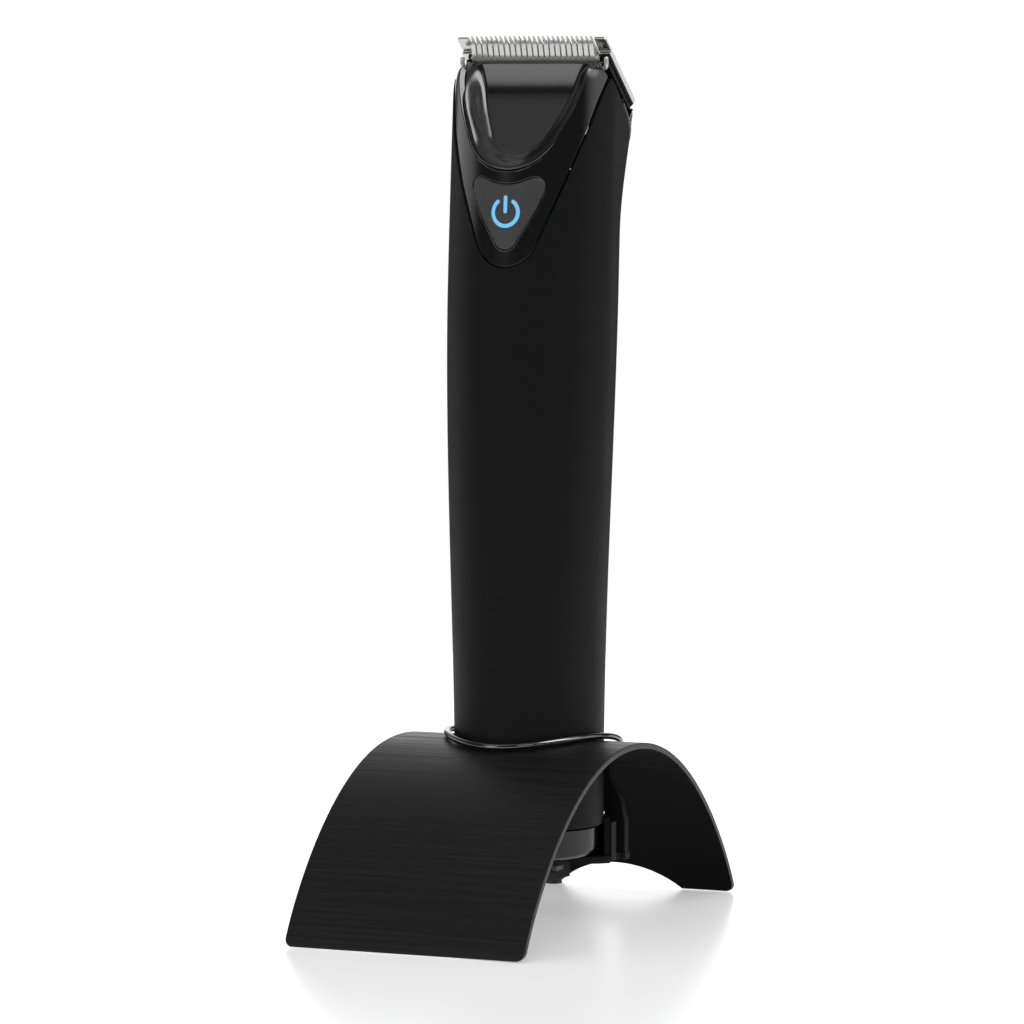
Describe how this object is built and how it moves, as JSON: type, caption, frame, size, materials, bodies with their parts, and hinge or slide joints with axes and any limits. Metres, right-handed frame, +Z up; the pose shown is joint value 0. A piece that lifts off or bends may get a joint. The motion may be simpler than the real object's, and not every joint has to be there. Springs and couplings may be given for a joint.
{
  "type": "body groomer",
  "caption": "Cordless body groomer with a matte sleeve, scooped cutting head, reciprocating blade and push button, standing in a bent-sheet charging stand.",
  "frame": {"origin": "centre of the stand's footprint, on the surface that it stands on", "axes": "+Z up, -Y towards the groomer's front with its power button, +X to the right seen from the front"},
  "size_m": [0.055, 0.1172, 0.191],
  "materials": {
    "sheet_black": "matte black coating over fine brushed grain",
    "sleeve_black": "matte black coating",
    "gloss_black": "polished",
    "button_black": "satin",
    "carrier_black": "satin moulded",
    "dock_black": "satin moulded",
    "ring_chrome": "dark polished",
    "blade_steel": "ground and polished",
    "spring_steel": "polished",
    "screw_steel": "zinc plated",
    "contact_gold": "gold plated",
    "board_green": "solder mask",
    "cell_wrap": "shrink film",
    "motor_can": "drawn",
    "inner_plastic": "moulded",
    "seal_rubber": "matte",
    "symbol_blue": "lit from behind"
  },
  "bodies": {
    "stand": {"stand_arch": "sheet_black", "mouth_ring": "ring_chrome", "dock_bracket": "dock_black", "dock_cover": "dock_black", "dock_board": "board_green", "contact_block": "inner_plastic", "power_socket": "dock_black", "cover_screw_left": "screw_steel", "cover_screw_right": "screw_steel"},
    "pin_left": {"charge_pin_left": "contact_gold"},
    "pin_right": {"charge_pin_right": "contact_gold"},
    "trimmer": {"body_sleeve": "sleeve_black", "front_housing": "gloss_black", "rear_housing": "gloss_black", "chassis_front": "inner_plastic", "chassis_rear": "inner_plastic", "end_cap": "gloss_black", "cap_seal": "seal_rubber", "cap_screw": "screw_steel", "charge_contact_left": "contact_gold", "charge_contact_right": "contact_gold", "battery_cell": "cell_wrap", "battery_tab_bottom": "screw_steel", "battery_tab_top": "screw_steel", "drive_motor": "motor_can", "motor_mount": "inner_plastic", "motor_screw_left": "screw_steel", "motor_screw_right": "screw_steel", "main_board": "board_green", "board_screw_bottom": "screw_steel", "board_screw_top": "screw_steel", "tact_switch": "carrier_black"},
    "button": {"power_button": "button_black", "symbol_light_guide": "symbol_blue"},
    "rotor": {"motor_shaft": "spring_steel", "eccentric_cam": "carrier_black"},
    "head": {"head_shell": "gloss_black", "blade_carrier": "carrier_black", "fixed_blade": "blade_steel", "guide_bar": "spring_steel", "tension_spring": "spring_steel", "blade_screw_left": "screw_steel", "blade_screw_right": "screw_steel"},
    "cutter": {"moving_blade": "blade_steel", "drive_yoke": "carrier_black"}
  },
  "joints": [
    {"name": "trimmer_lift", "type": "slide", "parent": "stand", "child": "trimmer", "axis": [0, 0, 1], "range_m": [0, 0.045]},
    {"name": "button_press", "type": "slide", "parent": "trimmer", "child": "button", "axis": [0, 1, 0], "range_m": [0, 0.0005], "stiffness_N_per_m": 2000},
    {"name": "motor_spin", "type": "hinge", "parent": "trimmer", "child": "rotor", "pos_m": [0, 0.01175, 0.15], "axis": [0, 0, 1], "continuous": true},
    {"name": "head_release", "type": "slide", "parent": "trimmer", "child": "head", "axis": [0, 0, 1], "range_m": [0, 0.015]},
    {"name": "cutter_slide", "type": "slide", "parent": "head", "child": "cutter", "axis": [1, 0, 0], "range_m": [-0.0012, 0.0012]},
    {"name": "pin_left_press", "type": "slide", "parent": "stand", "child": "pin_left", "axis": [0, 0, -1], "range_m": [0, 0.001], "stiffness_N_per_m": 400},
    {"name": "pin_right_press", "type": "slide", "parent": "stand", "child": "pin_right", "axis": [0, 0, -1], "range_m": [0, 0.001], "stiffness_N_per_m": 400}
  ]
}
